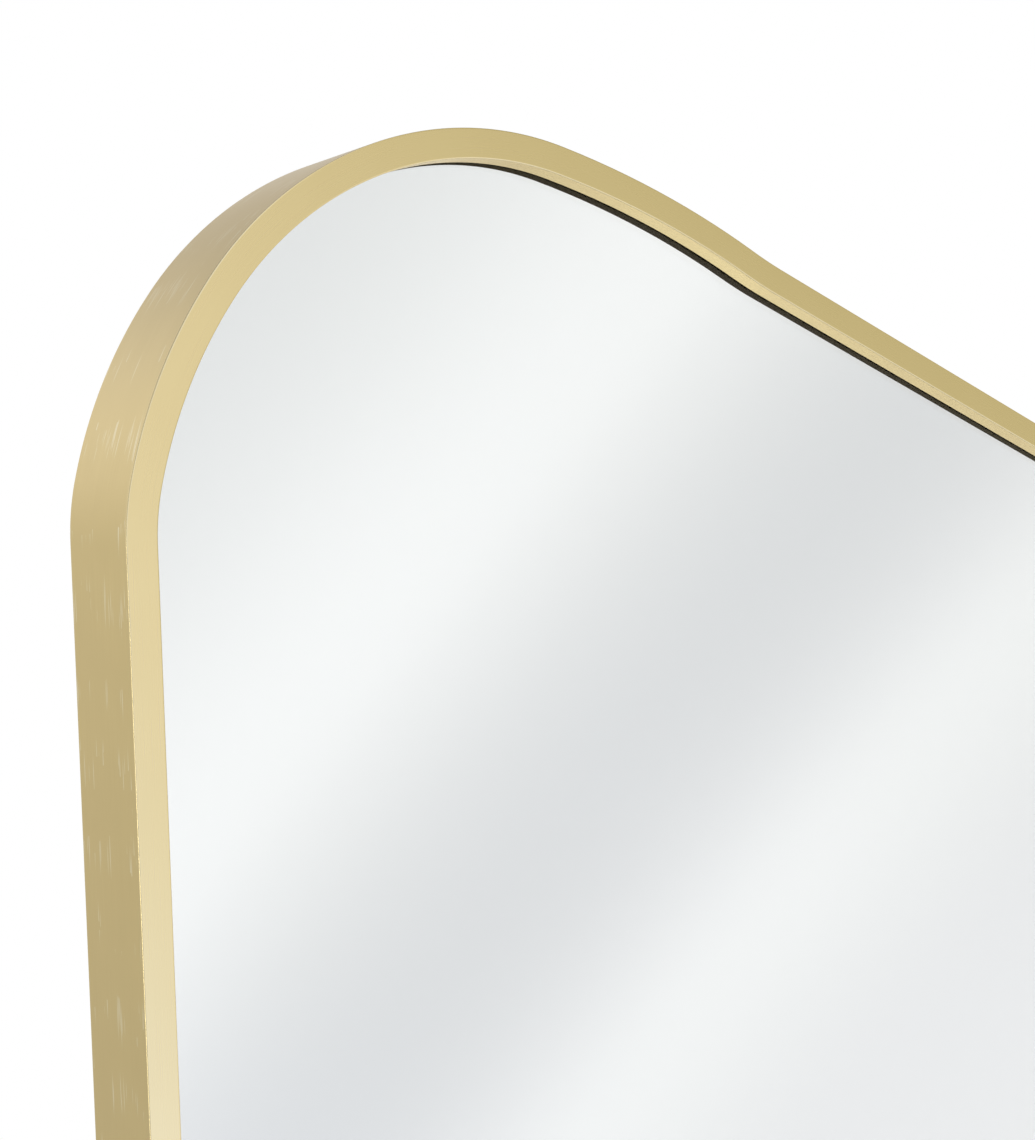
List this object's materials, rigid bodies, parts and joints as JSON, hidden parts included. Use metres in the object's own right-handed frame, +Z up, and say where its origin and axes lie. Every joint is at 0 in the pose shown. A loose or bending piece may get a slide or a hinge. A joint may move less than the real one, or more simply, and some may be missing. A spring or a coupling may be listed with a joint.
{
  "type": "irregular wall mirror",
  "caption": "Wall mirror with an uneven rounded outline, set back in a deep slim brushed-gold metal frame, with hinged D-ring hangers on the back.",
  "frame": {"origin": "on the wall plane (the plane of the rear bumpers' faces), at the middle of the outline's width and height", "axes": "+Z up as the mirror hangs upright, +X to the right as a viewer sees it, +Y into the wall, so the glass faces -Y"},
  "size_m": [0.5039, 0.0332, 0.8106],
  "materials": {
    "gold_frame": "brushed lengthwise and anodised pale gold, satin",
    "glass": "clear float glass, polished faces, ground edge",
    "silvering": "silver layer seen through the glass, grey backing paint behind",
    "black_tape": "black closed-cell foam tape, matt",
    "film": "thin woven-backed vinyl safety film, matt",
    "white_foam": "expanded polystyrene sheet",
    "plywood": "birch plywood, sawn",
    "board": "fibreboard with a dark painted back",
    "mill_aluminium": "mill finish",
    "zinc_steel": "zinc-plated sheet",
    "nickel_steel": "nickel-plated steel, bright",
    "screw_steel": "zinc-plated",
    "bumper_rubber": "grey-black rubber, matt",
    "spacer_rubber": "black rubber, matt"
  },
  "bodies": {
    "mirror": {"backing_board": "board", "clip_screws": "screw_steel", "edge_spacers": "spacer_rubber", "foam_core": "white_foam", "frame_profile": "gold_frame", "front_joint_key": "mill_aluminium", "glazing_tape": "black_tape", "hanger_blocks": "plywood", "hanger_screws": "screw_steel", "hanger_strap_side_lower": "nickel_steel", "hanger_strap_side_upper": "nickel_steel", "hanger_strap_upper_left": "nickel_steel", "hanger_strap_upper_right": "nickel_steel", "key_set_screws": "screw_steel", "mirror_glass": "glass", "plate_screws": "screw_steel", "rear_joint_plate": "mill_aluminium", "retainer_clips": "zinc_steel", "safety_film": "film", "silver_coating": "silvering", "wall_bumpers": "bumper_rubber"},
    "ring_upper_left": {"hanger_ring_upper_left": "nickel_steel"},
    "ring_upper_right": {"hanger_ring_upper_right": "nickel_steel"},
    "ring_side_lower": {"hanger_ring_side_lower": "nickel_steel"},
    "ring_side_upper": {"hanger_ring_side_upper": "nickel_steel"}
  },
  "joints": [
    {"name": "ring_upper_left_hinge", "type": "hinge", "parent": "mirror", "child": "ring_upper_left", "pos_m": [-0.14696, -0.00464, 0.19467], "axis": [-1, 0, 0], "range_deg": [0, 178]},
    {"name": "ring_upper_right_hinge", "type": "hinge", "parent": "mirror", "child": "ring_upper_right", "pos_m": [0.14305, -0.00464, 0.19467], "axis": [-1, 0, 0], "range_deg": [0, 178]},
    {"name": "ring_side_lower_hinge", "type": "hinge", "parent": "mirror", "child": "ring_side_lower", "pos_m": [0.12004, -0.00464, -0.13533], "axis": [0, 0, 1], "range_deg": [0, 178]},
    {"name": "ring_side_upper_hinge", "type": "hinge", "parent": "mirror", "child": "ring_side_upper", "pos_m": [0.12004, -0.00464, 0.10467], "axis": [0, 0, 1], "range_deg": [0, 178]}
  ]
}
